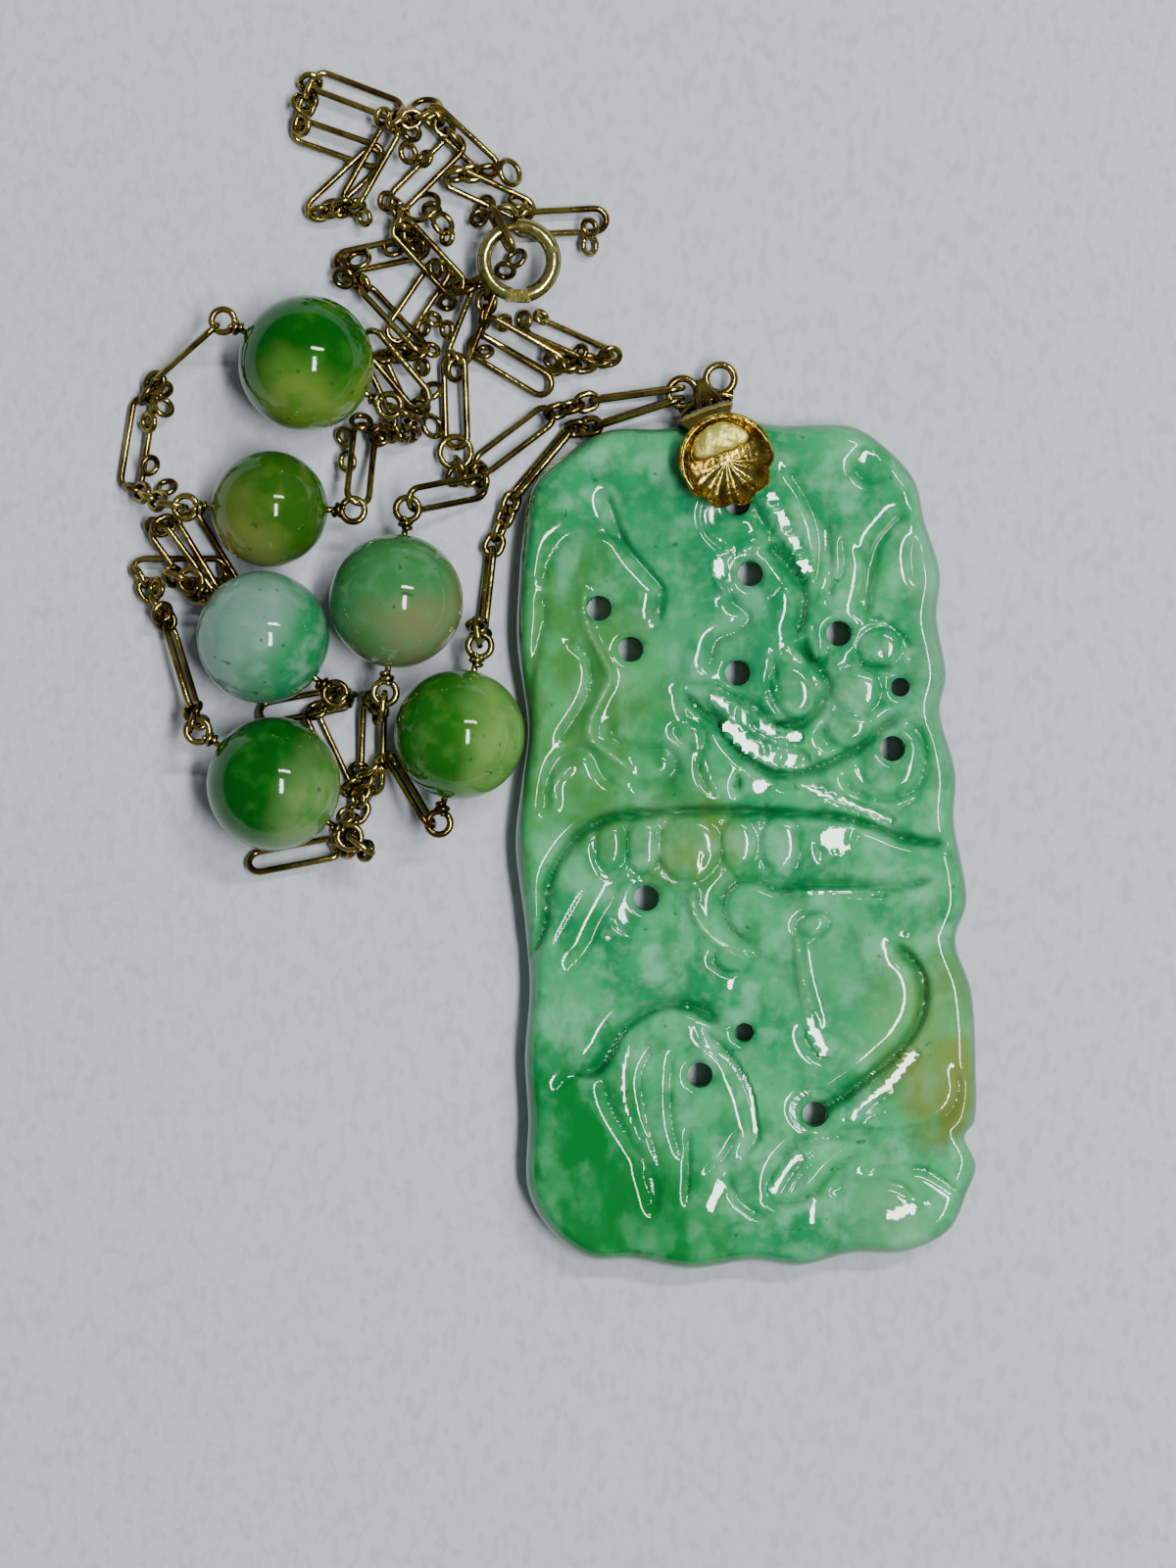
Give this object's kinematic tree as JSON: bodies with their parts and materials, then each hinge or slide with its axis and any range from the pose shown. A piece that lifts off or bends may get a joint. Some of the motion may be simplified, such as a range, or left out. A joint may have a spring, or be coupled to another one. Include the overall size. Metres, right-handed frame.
{
  "type": "carved stone pendant with bead chain",
  "caption": "Rectangular carved and drilled plaque pendant on a strap bail, with a paper-clip link chain, round drilled beads on wrapped wire pins and a round spring-ring clasp, lying flat.",
  "frame": {"origin": "middle of the plaque's flat back, on the surface it lies on", "axes": "+X to the right of the plaque seen from its front, +Y to its top, where the bail is, +Z out of its carved face"},
  "size_m": [0.055, 0.0768, 0.0086],
  "materials": {
    "jade_plaque": "polished mottled pale to mid green jade",
    "jade_bead": "polished mottled green jade",
    "gold": "polished yellow gold"
  },
  "bodies": {
    "root": {"carved_plaque": "jade_plaque", "bail_strap": "gold", "bail_blossom": "gold", "jade_bead_1": "jade_bead", "jade_bead_2": "jade_bead", "jade_bead_3": "jade_bead", "jade_bead_4": "jade_bead", "jade_bead_5": "jade_bead", "jade_bead_6": "jade_bead", "chain_bail_to_bead_4": "gold", "chain_bail_to_bead_5": "gold", "chain_bead_3_to_bead_5": "gold", "chain_bead_4_to_bead_6": "gold", "chain_bead_6_to_bead_3": "gold", "chain_bead_1_to_bead_2": "gold", "chain_heap": "gold", "spring_ring_clasp": "gold"}
  },
  "joints": []
}
